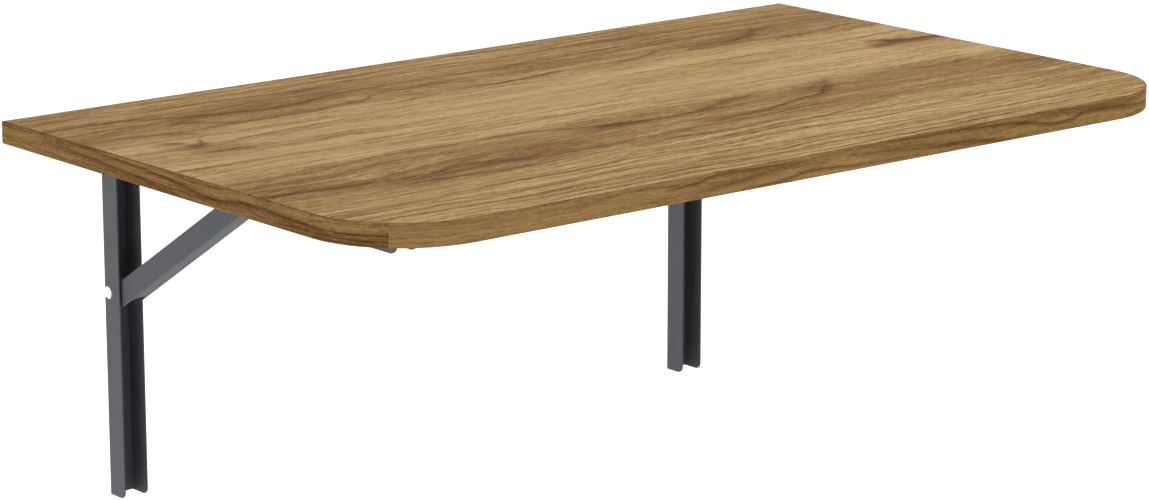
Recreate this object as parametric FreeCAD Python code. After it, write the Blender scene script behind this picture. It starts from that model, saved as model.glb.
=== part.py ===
"""Wall mounted drop leaf table: an oak-decor leaf on two folding sheet-steel brackets.

Frame, in mm: X runs along the wall to the right, Y away from the wall to the back, so the
leaf reaches out along -Y, and Z is up. The origin is the middle of the wall screw pattern,
on the wall plane. The leaf is modelled level and locked; it folds down by a quarter turn.
"""
import math
import os

import FreeCAD
import Part

# ---- leaf ----
LEAF_LENGTH = 1000.0
LEAF_DEPTH = 600.0
LEAF_THICKNESS = 22.0
LEAF_CORNER_R = 100.0
BAND_THICKNESS = 2.0
BAND_EDGE_R = 1.0
LEAF_TOP_Z = 225.0            # above the middle of the wall screws
LEFT_OVERHANG = 122.7         # leaf end to the middle of the left bracket
RIGHT_OVERHANG = 149.1

# ---- sheet steel and its fits ----
SHEET = 1.5
BEND_INNER_R = 0.5
NEST_GAP = 0.1                # arm flange to rail flange, each side
PIN_GAP = 0.07                # radial, pins and rivets in their holes
END_PLAY = 0.05               # axial, sleeves, spacers and pin heads

# ---- wall rail ----
RAIL_WIDTH = 27.4
RAIL_DEPTH = 26.2
RAIL_TOP_DROP = 34.0          # leaf top to rail top
RAIL_LENGTH = 357.0
RAIL_FRONT_R = 7.0
RAIL_REAR_R = 2.0
WALL_HOLE_D = 6.5
WALL_HOLE_PITCH_OUTER = 300.0
WALL_HOLE_PITCH_INNER = 190.0
CROSS_HOLE_D = 12.8           # hole through both flanges, open at the back
CROSS_HOLE_OUT = 5.8
CROSS_HOLE_DROP = 184.9       # leaf top to the middle of the hole
CROSS_SLOT_HEIGHT = 11.0      # slot across the back that opens the bends into the holes
CROSS_SLOT_DEPTH = 4.0
WINDOW_ABOVE = 5.6            # window in the web, above and below the middle of the hole
WINDOW_BELOW = 9.0

# ---- arm under the leaf ----
ARM_DEPTH = 37.2
ARM_LENGTH = 471.0
ARM_TIP_R = 10.0
ARM_PIVOT_OUT = 14.5          # wall plane to the leaf's pivot
ARM_PIVOT_DROP = 47.0         # leaf top to the leaf's pivot
RELIEF_WIDTH = 13.0           # notch that clears the strut's foot when folded

# ---- strut ----
STRUT_WIDTH = 20.0
STRUT_DEPTH = 22.3
STRUT_SLOPE = 31.9
STRUT_PIVOT_OUT = 17.5
STRUT_PIVOT_DROP = 182.7
STRUT_WEB_OFFSET = 15.25      # strut pivot to the web's outer face
STRUT_FOOT = 8.5              # strut pivot to the end of the ears
STRUT_FOOT_R = 7.0
STRUT_WEB_START = 22.0        # strut pivot to the crown of the web's arched end
HOOK_LIP = 7.0                # steel beyond the hook's seat
HOOK_TIP_R = 4.0
HOOK_RAMP = 21.0              # degrees, rear wall of the hook to the strut's length

# ---- pins, sleeves, screws ----
RIVET_D = 6.0
RIVET_HEAD_D = 11.0
RIVET_HEAD_H = 2.0
FOOT_HEAD_D = 9.5
FOOT_HEAD_H = 1.2
SLEEVE_WALL = 1.6
SPACER_WALL = 1.9
SLIDE_PIN_D = 6.0
SLIDE_PIN_DROP = 19.0         # leaf underside to the slide pin
SLIDE_HEAD_D = 9.5
SLIDE_HEAD_H = 1.5
SLIDE_END_ROOM = 0.4          # slot length beyond the pin at each end
SCREW_D = 4.0
SCREW_HEAD_D = 8.0
SCREW_HEAD_H = 2.4
SCREW_BITE = 15.0             # thread length inside the leaf
SCREW_RECESS_W = 1.1
SCREW_RECESS_L = 4.2
SCREW_RECESS_H = 1.3
SCREW_COUNT = 4
SCREW_FIRST = 62.0            # wall plane to the first screw
SCREW_PITCH = 125.0

# ---- derived ----
LEAF_UNDER_Z = LEAF_TOP_Z - LEAF_THICKNESS
BRACKET_SPACING = LEAF_LENGTH - LEFT_OVERHANG - RIGHT_OVERHANG
BRACKET_X = {"left": -BRACKET_SPACING / 2, "right": BRACKET_SPACING / 2}
LEAF_LEFT_X = BRACKET_X["left"] - LEFT_OVERHANG
RAIL_INNER = RAIL_WIDTH - 2 * SHEET
ARM_WIDTH = RAIL_INNER - 2 * NEST_GAP
ARM_INNER = ARM_WIDTH - 2 * SHEET
STRUT_INNER = STRUT_WIDTH - 2 * SHEET
ARM_PIVOT = (ARM_PIVOT_OUT, LEAF_TOP_Z - ARM_PIVOT_DROP)
STRUT_PIVOT = (STRUT_PIVOT_OUT, LEAF_TOP_Z - STRUT_PIVOT_DROP)
ARM_REAR_R = ARM_DEPTH - (ARM_PIVOT_DROP - LEAF_THICKNESS)
SLIDE_Z = LEAF_UNDER_Z - SLIDE_PIN_DROP
STRUT_REACH = (SLIDE_Z - STRUT_PIVOT[1]) / math.sin(math.radians(STRUT_SLOPE))
SLIDE_OUT = STRUT_PIVOT_OUT + STRUT_REACH * math.cos(math.radians(STRUT_SLOPE))
PIVOT_DISTANCE = STRUT_PIVOT_DROP - ARM_PIVOT_DROP
PIN_LIFT = SLIDE_Z - ARM_PIVOT[1]                 # slide pin above the leaf's pivot


def folded_slide_radius():
    """Distance along the arm from its pivot to the slide pin with the leaf hanging down."""
    across = ARM_PIVOT_OUT + PIN_LIFT - STRUT_PIVOT_OUT
    return PIVOT_DISTANCE + math.sqrt(STRUT_REACH ** 2 - across ** 2)


SLIDE_FOLDED_OUT = ARM_PIVOT_OUT + folded_slide_radius()


# ---- drawing helpers: "out" is the distance from the wall, so Y = -out ----
def side_plate(points, x_low, x_high):
    """Plate with the given (out, z) side outline between two X planes."""
    corners = [FreeCAD.Vector(x_low, -out, z) for out, z in points]
    outline = Part.makePolygon(corners + corners[:1])
    return Part.Face(outline).extrude(FreeCAD.Vector(x_high - x_low, 0, 0))


def round_corners(plate, corners):
    """Round the plate's edges along X that stand at the given (out, z, radius)."""
    for out, z, radius in corners:
        edges = [edge for edge in plate.Edges if runs_along_x(edge, out, z)]
        plate = plate.makeFillet(radius, edges)
    return plate


def runs_along_x(edge, out, z):
    first = edge.Vertexes[0].Point
    last = edge.Vertexes[-1].Point
    level = abs(first.y - last.y) < 1e-6 and abs(first.z - last.z) < 1e-6
    return level and abs(first.y + out) < 1e-4 and abs(first.z - z) < 1e-4


def cross_pin(out, z, diameter, x_low, x_high):
    return Part.makeCylinder(diameter / 2, x_high - x_low, FreeCAD.Vector(x_low, -out, z),
                             FreeCAD.Vector(1, 0, 0))


def channel(width, depth, length):
    """U channel: web on Z = 0, flanges down to -depth, centred on X, running along -Y."""
    outer_r = BEND_INNER_R + SHEET
    outer = Part.makeBox(width, length, depth, FreeCAD.Vector(-width / 2, -length, -depth))
    inner = Part.makeBox(width - 2 * SHEET, length, depth,
                         FreeCAD.Vector(SHEET - width / 2, -length, -depth - SHEET))
    outer = outer.makeFillet(outer_r, edges_along_y(outer, 0.0))
    inner = inner.makeFillet(BEND_INNER_R, edges_along_y(inner, -SHEET))
    return outer.cut(inner)


def edges_along_y(solid, z):
    found = []
    for edge in solid.Edges:
        box = edge.BoundBox
        if box.YLength > 1 and abs(box.ZMin - z) < 1e-6 and abs(box.ZMax - z) < 1e-6:
            found.append(edge)
    return found


def domed_head(diameter, height, base, direction):
    """Low domed head, a spherical cap that stands on base and points along direction."""
    radius = (diameter ** 2 / 4 + height ** 2) / (2 * height)
    ball = Part.makeSphere(radius, base - direction * (radius - height))
    reach = Part.makeCylinder(radius, 2 * radius, base, direction)
    return ball.common(reach)


def rivet(out, z, shank_d, head_d, head_h, x_low, x_high):
    """Rivet along X with a domed head outside each of the two X planes."""
    shank = cross_pin(out, z, shank_d, x_low, x_high)
    heads = [
        domed_head(head_d, head_h, FreeCAD.Vector(x_low, -out, z), FreeCAD.Vector(-1, 0, 0)),
        domed_head(head_d, head_h, FreeCAD.Vector(x_high, -out, z), FreeCAD.Vector(1, 0, 0)),
    ]
    return shank.fuse(heads).removeSplitter()


def ring(out, z, bore_d, wall, x_low, x_high):
    tube = cross_pin(out, z, bore_d + 2 * wall, x_low, x_high)
    return tube.cut(cross_pin(out, z, bore_d, x_low, x_high))


# ---- leaf ----
def leaf_blank(inset):
    """Leaf block whose four edges stand inset inside the finished leaf."""
    block = Part.makeBox(LEAF_LENGTH - 2 * inset, LEAF_DEPTH - 2 * inset, LEAF_THICKNESS,
                         FreeCAD.Vector(LEAF_LEFT_X + inset, inset - LEAF_DEPTH, LEAF_UNDER_Z))
    front = []
    for edge in block.Edges:
        if edge.BoundBox.ZLength > 1 and edge.BoundBox.YMax < -LEAF_DEPTH / 2:
            front.append(edge)
    return block.makeFillet(LEAF_CORNER_R - inset, front)


def rim_edges(solid):
    found = []
    for edge in solid.Edges:
        if edge.BoundBox.ZLength < 1e-6:
            found.append(edge)
    return found


def band_ring():
    outer = leaf_blank(0.0)
    outer = outer.makeFillet(BAND_EDGE_R, rim_edges(outer))
    return outer.cut(leaf_blank(BAND_THICKNESS))


def plan_prism(points):
    corners = [FreeCAD.Vector(x, y, LEAF_UNDER_Z - 1) for x, y in points]
    face = Part.Face(Part.makePolygon(corners + corners[:1]))
    return face.extrude(FreeCAD.Vector(0, 0, LEAF_THICKNESS + 2))


def edge_bands():
    """Four bands; the front one meets the side ones in the middle of each round corner."""
    left_x = LEAF_LEFT_X
    right_x = LEAF_LEFT_X + LEAF_LENGTH
    seam_y = LEAF_CORNER_R - LEAF_DEPTH
    past = LEAF_CORNER_R + 50.0
    beyond = 5.0
    sides = {}
    for name, edge_x, inward in (("left", left_x, 1), ("right", right_x, -1)):
        centre_x = edge_x + inward * LEAF_CORNER_R
        sides[name] = plan_prism([
            (edge_x - inward * past, beyond), (edge_x + inward * BAND_THICKNESS, beyond),
            (edge_x + inward * BAND_THICKNESS, seam_y), (centre_x, seam_y),
            (centre_x - inward * past, seam_y - past), (edge_x - inward * past, seam_y - past)])
    back = plan_prism([
        (left_x + BAND_THICKNESS, beyond), (right_x - BAND_THICKNESS, beyond),
        (right_x - BAND_THICKNESS, -2 * BAND_THICKNESS),
        (left_x + BAND_THICKNESS, -2 * BAND_THICKNESS)])
    whole = band_ring()
    bands = {}
    for name, prism in sides.items():
        bands["edge_band_" + name] = whole.common(prism)
    bands["edge_band_back"] = whole.common(back)
    bands["edge_band_front"] = whole.cut(list(sides.values()) + [back])
    return bands


def screw_places(centre_x):
    return [(centre_x, SCREW_FIRST + SCREW_PITCH * index) for index in range(SCREW_COUNT)]


def leaf_core():
    core = leaf_blank(BAND_THICKNESS)
    for centre_x in BRACKET_X.values():
        for x, out in screw_places(centre_x):
            foot = FreeCAD.Vector(x, -out, LEAF_UNDER_Z)
            core = core.cut(Part.makeCylinder(SCREW_D / 2 + PIN_GAP, SCREW_BITE + 1.0, foot))
    return core


def board_screws(centre_x):
    """Pan head screws up through the arm's web into the leaf, with a cross recess."""
    screws = []
    for x, out in screw_places(centre_x):
        seat = FreeCAD.Vector(x, -out, LEAF_UNDER_Z - SHEET)
        shank = Part.makeCylinder(SCREW_D / 2, SHEET + SCREW_BITE, seat)
        head = domed_head(SCREW_HEAD_D, SCREW_HEAD_H, seat, FreeCAD.Vector(0, 0, -1))
        screw = shank.fuse(head).removeSplitter()
        floor_z = seat.z - SCREW_HEAD_H + SCREW_RECESS_H
        for wide, deep in ((SCREW_RECESS_L, SCREW_RECESS_W), (SCREW_RECESS_W, SCREW_RECESS_L)):
            corner = FreeCAD.Vector(x - wide / 2, -out - deep / 2, floor_z - 2 * SCREW_RECESS_H)
            screw = screw.cut(Part.makeBox(wide, deep, 2 * SCREW_RECESS_H, corner))
        screws.append(screw)
    return Part.makeCompound(screws)


# ---- wall rail ----
def wall_rail(centre_x):
    """Upright channel, web to the wall, with wall holes and an opening across its back."""
    top_z = LEAF_TOP_Z - RAIL_TOP_DROP
    low_z = top_z - RAIL_LENGTH
    body = channel(RAIL_WIDTH, RAIL_DEPTH, RAIL_LENGTH)
    body.rotate(FreeCAD.Vector(), FreeCAD.Vector(1, 0, 0), -90)
    body.translate(FreeCAD.Vector(centre_x, 0, top_z - body.BoundBox.ZMax))
    half = RAIL_WIDTH / 2
    side = side_plate([(0, low_z), (RAIL_DEPTH, low_z), (RAIL_DEPTH, top_z), (0, top_z)],
                      centre_x - half, centre_x + half)
    side = round_corners(side, [
        (RAIL_DEPTH, low_z, RAIL_FRONT_R), (RAIL_DEPTH, top_z, RAIL_FRONT_R),
        (0, low_z, RAIL_REAR_R), (0, top_z, RAIL_REAR_R)])
    body = body.common(side)
    cuts = [cross_opening(centre_x)]
    for pivot in (ARM_PIVOT, STRUT_PIVOT):
        cuts.append(cross_pin(*pivot, RIVET_D + 2 * PIN_GAP, centre_x - half, centre_x + half))
    for pitch in (WALL_HOLE_PITCH_OUTER, WALL_HOLE_PITCH_INNER):
        for z in (-pitch / 2, pitch / 2):
            cuts.append(Part.makeCylinder(WALL_HOLE_D / 2, 2 * SHEET,
                                          FreeCAD.Vector(centre_x, SHEET / 2, z),
                                          FreeCAD.Vector(0, -1, 0)))
    return body.cut(cuts)


def cross_opening(centre_x):
    """Round holes through both flanges, a slot that opens the bends and a window between."""
    half = RAIL_WIDTH / 2
    middle_z = LEAF_TOP_Z - CROSS_HOLE_DROP
    edge = SHEET + BEND_INNER_R
    hole = cross_pin(CROSS_HOLE_OUT, middle_z, CROSS_HOLE_D, centre_x - half, centre_x + half)
    slot = Part.makeBox(RAIL_WIDTH, CROSS_SLOT_DEPTH, CROSS_SLOT_HEIGHT,
                        FreeCAD.Vector(centre_x - half, -CROSS_SLOT_DEPTH,
                                       middle_z - CROSS_SLOT_HEIGHT / 2))
    window = Part.makeBox(RAIL_WIDTH - 2 * edge, edge, WINDOW_BELOW + WINDOW_ABOVE,
                          FreeCAD.Vector(centre_x - half + edge, -edge,
                                         middle_z - WINDOW_BELOW))
    return hole.fuse([slot, window])


# ---- arm ----
def support_arm(centre_x):
    """Channel under the leaf: round rear end, slide slots, relief notches, screw holes."""
    rear_out = ARM_PIVOT_OUT - ARM_REAR_R
    tip_out = rear_out + ARM_LENGTH
    low_z = LEAF_UNDER_Z - ARM_DEPTH
    half = ARM_WIDTH / 2
    body = channel(ARM_WIDTH, ARM_DEPTH, ARM_LENGTH)
    body.translate(FreeCAD.Vector(centre_x, -rear_out, LEAF_UNDER_Z))
    side = side_plate([(rear_out, low_z), (tip_out, low_z), (tip_out, LEAF_UNDER_Z),
                       (rear_out, LEAF_UNDER_Z)], centre_x - half, centre_x + half)
    side = round_corners(side, [(rear_out, low_z, ARM_REAR_R - 0.01),
                                (tip_out, low_z, ARM_TIP_R)])
    body = body.common(side)
    cuts = [cross_pin(*ARM_PIVOT, RIVET_D + 2 * PIN_GAP, centre_x - half, centre_x + half),
            slide_slot(centre_x), foot_relief(centre_x)]
    for x, out in screw_places(centre_x):
        cuts.append(Part.makeCylinder(SCREW_D / 2 + 3 * PIN_GAP, 2 * SHEET,
                                      FreeCAD.Vector(x, -out, LEAF_UNDER_Z - 1.5 * SHEET)))
    return body.cut(cuts)


def slide_slot(centre_x):
    """Straight slot through both flanges, from the locked pin to the folded pin."""
    width = SLIDE_PIN_D + 2 * PIN_GAP
    start = SLIDE_OUT - SLIDE_END_ROOM
    finish = SLIDE_FOLDED_OUT + SLIDE_END_ROOM
    low = centre_x - ARM_WIDTH / 2
    high = centre_x + ARM_WIDTH / 2
    run = side_plate([(start, SLIDE_Z - width / 2), (finish, SLIDE_Z - width / 2),
                      (finish, SLIDE_Z + width / 2), (start, SLIDE_Z + width / 2)], low, high)
    return run.fuse([cross_pin(start, SLIDE_Z, width, low, high),
                     cross_pin(finish, SLIDE_Z, width, low, high)])


def foot_relief(centre_x):
    """Round-ended notch from the flanges' free edge that clears the strut's foot pivot."""
    foot_out = ARM_PIVOT_OUT + PIVOT_DISTANCE
    foot_z = ARM_PIVOT[1] + STRUT_PIVOT_OUT - ARM_PIVOT_OUT
    low_z = LEAF_UNDER_Z - ARM_DEPTH - 1
    half = RELIEF_WIDTH / 2
    low = centre_x - ARM_WIDTH / 2
    high = centre_x + ARM_WIDTH / 2
    run = side_plate([(foot_out - half, low_z), (foot_out + half, low_z),
                      (foot_out + half, foot_z), (foot_out - half, foot_z)], low, high)
    return run.fuse(cross_pin(foot_out, foot_z, RELIEF_WIDTH, low, high))


# ---- strut: drawn lying along "out" with its pivot at the origin, then swung up ----
def strut(centre_x):
    """Channel strut, web below, with rounded ears at the foot and an open hook at the top."""
    half = STRUT_WIDTH / 2
    seat_r = SLIDE_PIN_D / 2 + PIN_GAP
    tip = STRUT_REACH + seat_r + HOOK_LIP
    open_h = STRUT_DEPTH - STRUT_WEB_OFFSET
    body = channel(STRUT_WIDTH, STRUT_DEPTH, STRUT_FOOT + tip)
    body.rotate(FreeCAD.Vector(), FreeCAD.Vector(0, 1, 0), 180)
    body.translate(FreeCAD.Vector(0, STRUT_FOOT, -STRUT_WEB_OFFSET))
    side = side_plate([(-STRUT_FOOT, -STRUT_WEB_OFFSET), (tip, -STRUT_WEB_OFFSET),
                       (tip, open_h), (-STRUT_FOOT, open_h)], -half, half)
    side = round_corners(side, [
        (-STRUT_FOOT, -STRUT_WEB_OFFSET, STRUT_FOOT_R), (-STRUT_FOOT, open_h, STRUT_FOOT_R),
        (tip, -STRUT_WEB_OFFSET, STRUT_FOOT_R), (tip, open_h, HOOK_TIP_R)])
    body = body.common(side)
    body = body.cut([cross_pin(0, 0, RIVET_D + 2 * PIN_GAP, -half, half),
                     hook_mouth(seat_r, open_h), web_arch()])
    body.rotate(FreeCAD.Vector(), FreeCAD.Vector(1, 0, 0), -STRUT_SLOPE)
    body.translate(FreeCAD.Vector(centre_x, -STRUT_PIVOT[0], STRUT_PIVOT[1]))
    return body


def hook_mouth(seat_r, open_h):
    """Round seat for the slide pin, open above, with a long ramp towards the foot."""
    ramp = math.radians(HOOK_RAMP)
    half = STRUT_WIDTH / 2
    touch = (STRUT_REACH - seat_r * math.sin(ramp), -seat_r * math.cos(ramp))
    rise = open_h + 1 - touch[1]
    mouth = side_plate([touch, (STRUT_REACH, 0), (STRUT_REACH + seat_r, 0),
                        (STRUT_REACH + seat_r, open_h + 1),
                        (touch[0] - rise / math.tan(ramp), open_h + 1)], -half, half)
    return mouth.fuse(cross_pin(STRUT_REACH, 0, 2 * seat_r, -half, half))


def web_arch():
    """Arched clearance that ends the web short of the foot, between the two ears."""
    arch_r = STRUT_INNER / 2 - BEND_INNER_R
    low = -STRUT_WEB_OFFSET - 1
    height = SHEET + BEND_INNER_R + 1
    run_end = STRUT_WEB_START - arch_r
    run = Part.makeBox(2 * arch_r, STRUT_FOOT + run_end + 1, height,
                       FreeCAD.Vector(-arch_r, -run_end, low))
    crown = Part.makeCylinder(arch_r, height, FreeCAD.Vector(0, -run_end, low))
    return run.fuse(crown)


# ---- pins, sleeves and spacers of one bracket ----
def bracket_pins(centre_x, side):
    bore = RIVET_D + 2 * PIN_GAP
    rail_half = RAIL_WIDTH / 2
    arm_half = ARM_WIDTH / 2
    arm_room = ARM_INNER / 2 - END_PLAY
    ear_room = STRUT_INNER / 2 - END_PLAY
    spacers = []
    for sign in (-1, 1):
        faces = sorted((sign * (STRUT_WIDTH / 2 + END_PLAY), sign * (RAIL_INNER / 2 - END_PLAY)))
        spacers.append(ring(*STRUT_PIVOT, bore, SPACER_WALL,
                            centre_x + faces[0], centre_x + faces[1]))
    pins = {
        "arm_rivet": rivet(*ARM_PIVOT, RIVET_D, RIVET_HEAD_D, RIVET_HEAD_H,
                           centre_x - rail_half, centre_x + rail_half),
        "arm_sleeve": ring(*ARM_PIVOT, bore, SLEEVE_WALL,
                           centre_x - arm_room, centre_x + arm_room),
        "foot_rivet": rivet(*STRUT_PIVOT, RIVET_D, FOOT_HEAD_D, FOOT_HEAD_H,
                            centre_x - rail_half, centre_x + rail_half),
        "foot_sleeve": ring(*STRUT_PIVOT, bore, SLEEVE_WALL,
                            centre_x - ear_room, centre_x + ear_room),
        "foot_spacers": Part.makeCompound(spacers),
        "slide_pin": rivet(SLIDE_OUT, SLIDE_Z, SLIDE_PIN_D, SLIDE_HEAD_D, SLIDE_HEAD_H,
                           centre_x - arm_half - END_PLAY, centre_x + arm_half + END_PLAY),
    }
    return {name + "_" + side: shape for name, shape in pins.items()}


def build():
    nodes = {"leaf_core": leaf_core()}
    nodes.update(edge_bands())
    for side, centre_x in BRACKET_X.items():
        nodes["wall_rail_" + side] = wall_rail(centre_x)
        nodes["support_arm_" + side] = support_arm(centre_x)
        nodes["strut_" + side] = strut(centre_x)
        nodes["leaf_screws_" + side] = board_screws(centre_x)
        nodes.update(bracket_pins(centre_x, side))
    return nodes


os.makedirs("parts", exist_ok=True)
for node_name, node_shape in build().items():
    node_shape.exportStep(os.path.join("parts", node_name + ".step"))
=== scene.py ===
import math

import bmesh
import bpy
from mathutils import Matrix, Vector


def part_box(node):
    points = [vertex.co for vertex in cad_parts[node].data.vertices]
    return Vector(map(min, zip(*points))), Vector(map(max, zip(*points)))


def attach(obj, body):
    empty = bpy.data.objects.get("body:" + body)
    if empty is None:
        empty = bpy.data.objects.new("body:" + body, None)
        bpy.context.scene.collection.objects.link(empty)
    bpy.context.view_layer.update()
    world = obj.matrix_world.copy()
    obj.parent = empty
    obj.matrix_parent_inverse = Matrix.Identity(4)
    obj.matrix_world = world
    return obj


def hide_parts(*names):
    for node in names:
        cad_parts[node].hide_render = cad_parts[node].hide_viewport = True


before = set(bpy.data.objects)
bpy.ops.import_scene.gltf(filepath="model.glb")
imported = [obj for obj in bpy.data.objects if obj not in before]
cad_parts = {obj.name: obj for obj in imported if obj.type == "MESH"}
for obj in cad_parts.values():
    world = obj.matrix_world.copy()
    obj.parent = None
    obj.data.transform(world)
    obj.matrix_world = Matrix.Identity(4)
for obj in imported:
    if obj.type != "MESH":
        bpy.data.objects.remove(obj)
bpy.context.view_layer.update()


# ---- Wall rails ----
# Two upright channels of 1.5 mm steel sheet, screwed to the wall, open to the room.
# They are punched, bent and then powder coated in a fine-grained graphite grey. The
# coat is speckled all over, and its tone and gloss drift a little in broad clouds.
SIDES = ("left", "right")
COAT_GREY = (0.126, 0.134, 0.150, 1)
COAT_GREY_DARK = (0.104, 0.111, 0.126, 1)
COAT_SPECK = (0.190, 0.200, 0.218, 1)
COAT_ROUGHNESS = 0.52
COAT_IOR = 1.5
COAT_GLOSS = 0.2
COAT_GRAIN_MM = 0.9
COAT_CLOUD_MM = 55.0
COAT_SPECKS_FROM = 0.56       # the grain's tops above this level are light specks
COAT_SPECK_EDGE = 6.0         # how sharply a speck begins
COAT_SPECK_SHARE = 0.5        # how much of the speck's colour a full speck takes
COAT_GRAIN_DULLS = 0.25       # how much roughness the grain and the clouds add or take
COAT_CLOUD_DULLS = 0.1
COAT_BUMP_MM = 0.05
COAT_BUMP_STRENGTH = 0.6
PAINTED_LIGHT_SIDE = (0.0, -0.53, -0.85)   # the side of the strut's web, down and to the front, that is painted lighter
PAINTED_LIGHT_FROM = 0.4            # share of that direction from which the painted highlight begins
MM = 1000.0                   # millimetres in one of the frame's metres


class Value:
    """One output of a material's nodes; arithmetic on it adds Math nodes."""

    def __init__(self, tree, socket):
        self.tree = tree
        self.socket = socket

    def node(self, kind, settings, inputs, output=0):
        """Any other node: its type, its settings first, then its sockets' values or links."""
        made = self.tree.nodes.new(kind)
        for name, setting in settings.items():
            if name == "stops":
                self._stops(made.color_ramp, setting)
            elif name == "points":
                self._points(made.mapping, setting)
            else:
                setattr(made, name, setting)
        for name, value in inputs.items():
            if isinstance(value, Value):
                self.tree.links.new(value.socket, made.inputs[name])
            else:
                made.inputs[name].default_value = value
        return Value(self.tree, made.outputs[output])

    def _stops(self, ramp, stops):
        while len(ramp.elements) < len(stops):
            ramp.elements.new(0.5)
        for element, (place, colour) in zip(ramp.elements, stops):
            element.position = place
            element.color = colour

    def _points(self, mapping, points):
        mapping.extend = "HORIZONTAL"
        line = mapping.curves[0]
        while len(line.points) < len(points):
            line.points.new(0.5, 0.5)
        for knob, place in zip(line.points, points):
            knob.location = place
        mapping.update()

    def _math(self, operation, *values):
        inputs = dict(enumerate(values))
        return self.node("ShaderNodeMath", {"operation": operation}, inputs)

    def __add__(self, other):
        return self._math("ADD", self, other)

    __radd__ = __add__

    def __sub__(self, other):
        return self._math("SUBTRACT", self, other)

    def __rsub__(self, other):
        return self._math("SUBTRACT", other, self)

    def __mul__(self, other):
        return self._math("MULTIPLY", self, other)

    __rmul__ = __mul__

    def __truediv__(self, other):
        return self._math("DIVIDE", self, other)

    def __rtruediv__(self, other):
        return self._math("DIVIDE", other, self)

    def __pow__(self, other):
        return self._math("POWER", self, other)

    def fraction(self):
        return self._math("FRACT", self)

    def dot(self, direction):
        return self.node("ShaderNodeVectorMath", {"operation": "DOT_PRODUCT"}, {
            0: self, 1: direction}, "Value")

    def most(self, other):
        return self._math("MAXIMUM", self, other)

    def clamp(self):
        return self.node("ShaderNodeClamp", {}, {"Value": self})


class Finish:
    """A material under construction: its tree, its object coordinates in mm and its shader."""

    def __init__(self, name):
        self.material = bpy.data.materials.new(name)
        self.material.use_nodes = True
        tree = self.material.node_tree
        tree.nodes.clear()
        self.start = Value(tree, None)
        self.shader = tree.nodes.new("ShaderNodeBsdfPrincipled")
        self.tree = tree
        output = tree.nodes.new("ShaderNodeOutputMaterial")
        tree.links.new(self.shader.outputs[0], output.inputs["Surface"])
        place = self.start.node("ShaderNodeTexCoord", {}, {}, "Object")
        parts = self.start.node("ShaderNodeSeparateXYZ", {}, {"Vector": place})
        sockets = parts.socket.node.outputs
        self.x, self.y, self.z = [Value(tree, socket) * MM for socket in sockets]

    def point(self, x, y, z):
        return self.start.node("ShaderNodeCombineXYZ", {}, {"X": x, "Y": y, "Z": z})

    def noise(self, x, y, z, detail=2.0, roughness=0.5):
        """Cloud noise from about 0 to 1 at that point; the coordinates set its grain."""
        return self.start.node("ShaderNodeTexNoise", {}, {
            "Vector": self.point(x, y, z), "Scale": 1.0, "Detail": detail,
            "Roughness": roughness})

    def cloud(self, size_mm, detail=2.0):
        """The same noise with an even grain of that size."""
        return self.noise(self.x / size_mm, self.y / size_mm, self.z / size_mm, detail)

    def facing(self, direction):
        """How far the surface faces a direction: 1 when it faces it squarely."""
        return self.start.node("ShaderNodeTexCoord", {}, {}, "Normal").dot(direction)

    def ramp(self, factor, stops):
        return self.start.node("ShaderNodeValToRGB", {"stops": stops}, {"Fac": factor})

    def curve(self, factor, points):
        """Smooth curve through (0..1, 0..1) points, level beyond its ends."""
        return self.start.node("ShaderNodeFloatCurve", {"points": points}, {"Value": factor})

    def mix(self, factor, under, over):
        return self.start.node("ShaderNodeMix", {"data_type": "RGBA"}, {
            0: factor, 6: under, 7: over}, 2)

    def deepen(self, factor, under, share):
        """The colour under it, multiplied by a share where the factor is 1."""
        return self.start.node("ShaderNodeMix", {"data_type": "RGBA", "blend_type": "MULTIPLY"}, {
            0: factor, 6: under, 7: share}, 2)

    def shine(self, **sockets):
        for name, value in sockets.items():
            target = self.shader.inputs[name.replace("_", " ")]
            if isinstance(value, Value):
                self.tree.links.new(value.socket, target)
            else:
                target.default_value = value

    def relief(self, height, distance_mm, strength=1.0):
        bump = self.start.node("ShaderNodeBump", {}, {
            "Height": height, "Distance": distance_mm / MM, "Strength": strength})
        self.shine(Normal=bump)


def dress(node_name, material):
    """Gives a CAD node one material in every slot."""
    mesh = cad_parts[node_name].data
    mesh.materials.clear()
    mesh.materials.append(material)


def powder_coat(name, light=0.0, lift=0.0):
    """Graphite coat, lighter by light all over, and by lift on its side facing down and to the
    front; both are painted light and shade.
    """
    coat = Finish(name)
    grain = coat.cloud(COAT_GRAIN_MM)
    cloud = coat.cloud(COAT_CLOUD_MM, detail=4.0)
    ground = coat.mix(cloud + light, COAT_GREY_DARK, COAT_GREY)
    speck = ((grain - COAT_SPECKS_FROM) * COAT_SPECK_EDGE).clamp() * COAT_SPECK_SHARE
    # painted highlight: lighter where the surface faces down and to the front
    painted_light = (coat.facing(PAINTED_LIGHT_SIDE) - PAINTED_LIGHT_FROM).clamp() * lift
    dull = COAT_ROUGHNESS + (grain - 0.5) * COAT_GRAIN_DULLS + (cloud - 0.5) * COAT_CLOUD_DULLS
    coat.shine(Base_Color=coat.mix(painted_light + speck, ground, COAT_SPECK), Roughness=dull,
               IOR=COAT_IOR, Specular_IOR_Level=COAT_GLOSS)
    coat.relief(grain, COAT_BUMP_MM, COAT_BUMP_STRENGTH)
    return coat.material


coat_material = powder_coat("graphite_powder_coat")
for side in SIDES:
    dress("wall_rail_" + side, coat_material)


# ---- Struts ----
# One sloping channel in each rail, web downwards, coated like the rail. Its ears turn
# on the foot rivet and its hook holds the slide pin. Its coat is painted a little darker
# all over, a painted shade, and its web is painted lighter, a painted highlight.
# painted shade over the whole strut coat, and the painted highlight on its web
STRUT_PAINTED_SHADE = -0.3
STRUT_PAINTED_LIGHT = 3.2

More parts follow.
